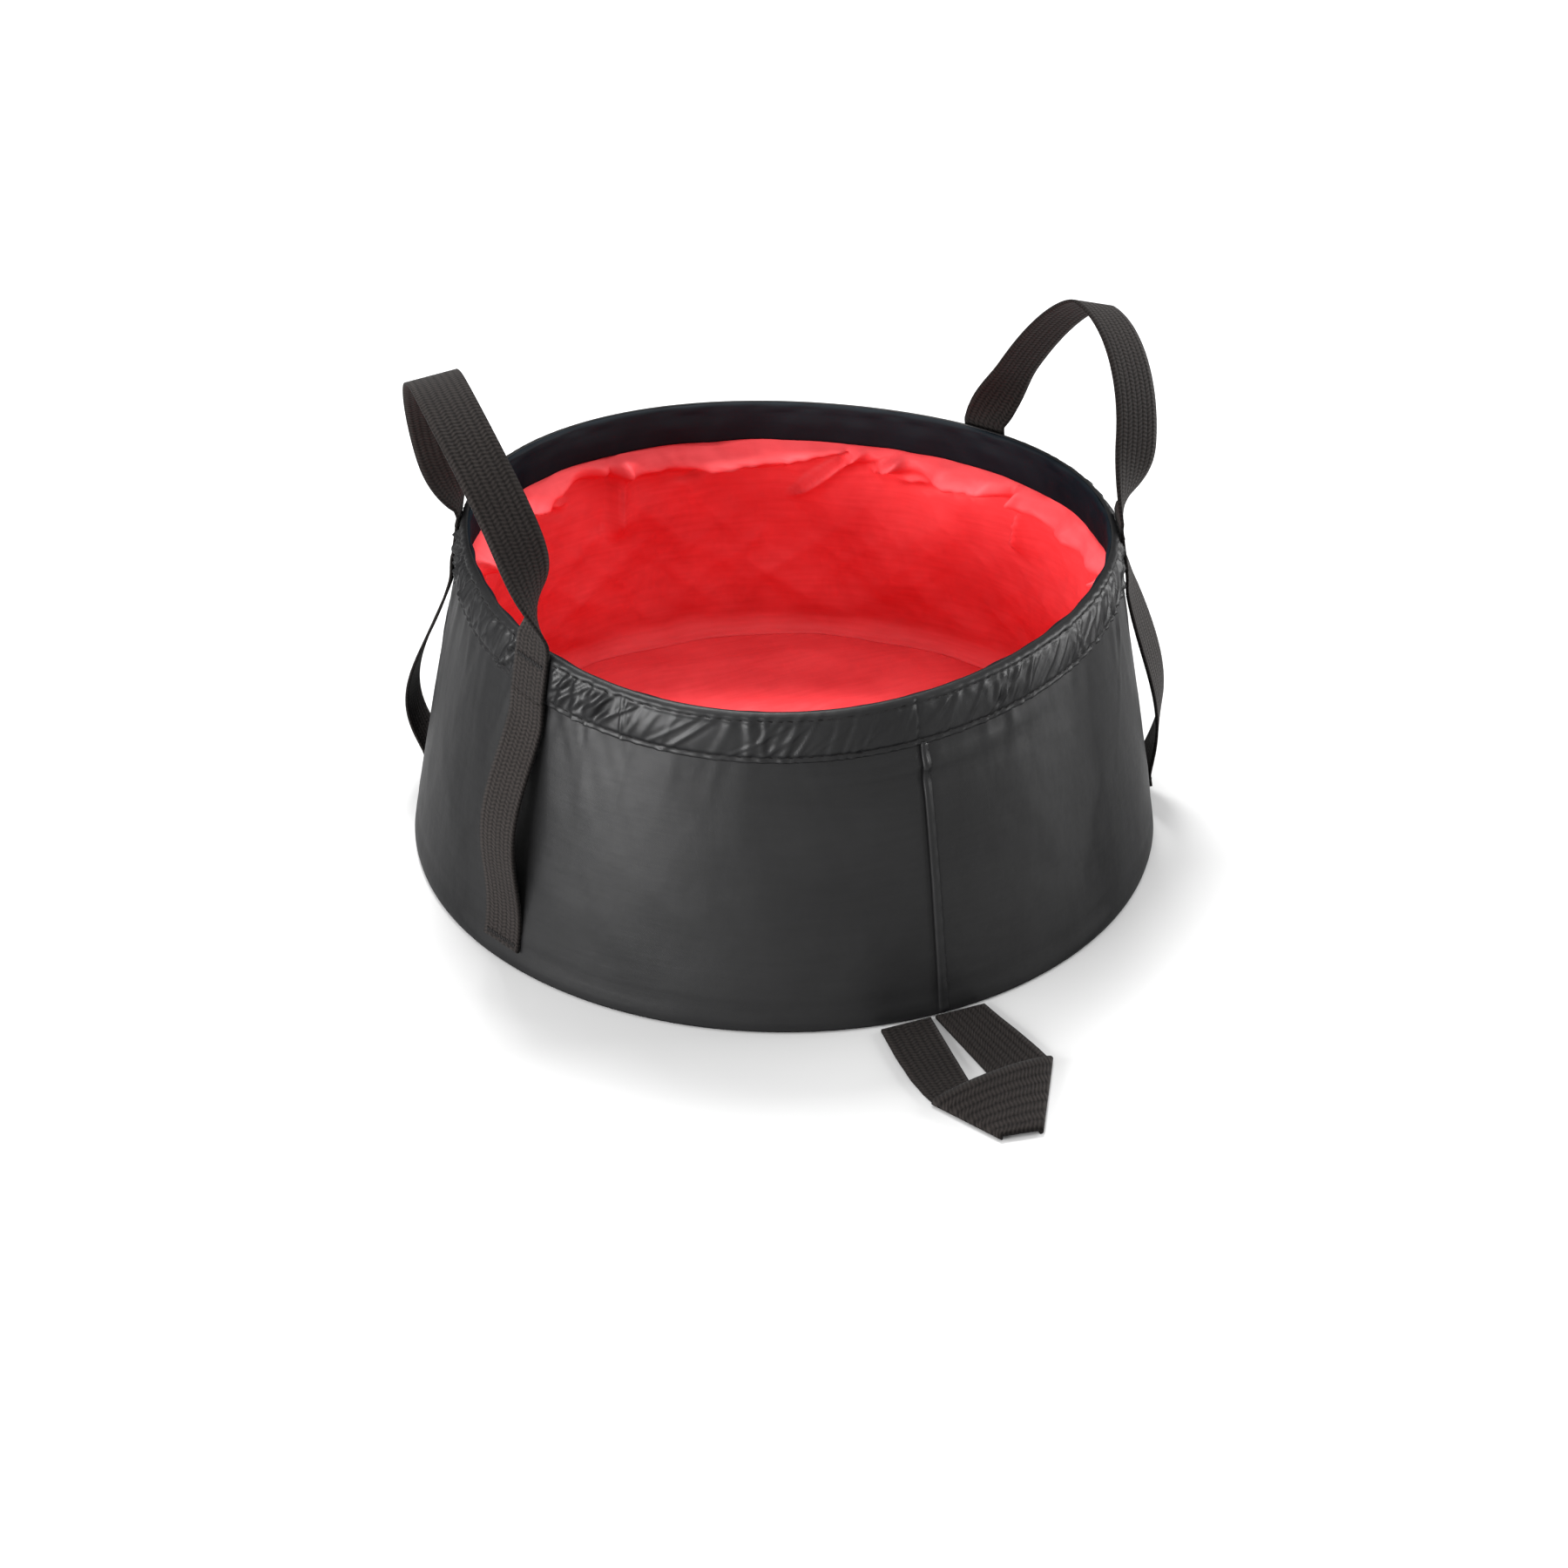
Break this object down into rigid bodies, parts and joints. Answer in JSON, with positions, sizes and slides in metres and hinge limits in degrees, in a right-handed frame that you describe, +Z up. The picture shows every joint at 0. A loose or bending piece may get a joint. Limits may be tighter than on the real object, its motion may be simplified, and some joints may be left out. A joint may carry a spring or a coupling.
{
  "type": "collapsible camp washbasin",
  "caption": "Round folding washbasin of coated fabric with a gathered wire-stiffened rim, bright loose lining, webbing straps, hand loops and a pull loop.",
  "frame": {"origin": "middle of the base, on the ground", "axes": "+Z up out of the basin; -Y towards the front seam and the pull loop; the hand loops at -X and +X"},
  "size_m": [0.3104, 0.3852, 0.2114],
  "materials": {
    "wall_fabric": "semi-gloss coated nylon",
    "rim_fabric": "gathered coated nylon",
    "facing_fabric": "smooth coated nylon",
    "lining": "glossy coated lining",
    "webbing": "ribbed matt webbing",
    "thread": "matt thread",
    "steel": "spring wire"
  },
  "bodies": {
    "base": {"base_panel": "wall_fabric", "wall_left": "wall_fabric", "wall_right": "wall_fabric", "front_seam": "wall_fabric", "back_seam": "wall_fabric", "lining_wall": "lining", "lining_floor": "lining", "right_front_side_strap": "webbing", "right_rear_side_strap": "webbing", "left_front_side_strap": "webbing", "left_rear_side_strap": "webbing", "right_front_base_tack": "thread", "right_rear_base_tack": "thread", "left_front_base_tack": "thread", "left_rear_base_tack": "thread"},
    "rim": {"rim_hem": "rim_fabric", "rim_facing": "facing_fabric", "rim_hoop": "steel", "right_front_strap_anchor": "webbing", "right_rear_strap_anchor": "webbing", "left_front_strap_anchor": "webbing", "left_rear_strap_anchor": "webbing", "right_front_rim_tack": "thread", "right_rear_rim_tack": "thread", "left_front_rim_tack": "thread", "left_rear_rim_tack": "thread"},
    "left_handle": {"left_handle": "webbing"},
    "right_handle": {"right_handle": "webbing"},
    "pull_loop": {"pull_loop": "webbing"}
  },
  "joints": [
    {"name": "rim_collapse", "type": "slide", "parent": "base", "child": "rim", "axis": [0, 0, -1], "range_m": [0, 0.095], "deforming": ["wall_left", "wall_right", "lining_wall", "front_seam", "back_seam", "right_front_side_strap", "right_rear_side_strap", "left_front_side_strap", "left_rear_side_strap"]},
    {"name": "right_handle_swing", "type": "hinge", "parent": "rim", "child": "right_handle", "pos_m": [0.12213, 0.0103, 0.13075], "axis": [0.1051, -0.9944, 0.0061], "range_deg": [-65, 95]},
    {"name": "left_handle_swing", "type": "hinge", "parent": "rim", "child": "left_handle", "pos_m": [-0.11559, 0.01025, 0.1304], "axis": [0.0628, 0.998, -0.0059], "range_deg": [-64, 95]},
    {"name": "pull_loop_lift", "type": "hinge", "parent": "base", "child": "pull_loop", "pos_m": [0, -0.15597, 0.0006], "axis": [-1, 0, 0], "range_deg": [0, 90]}
  ]
}
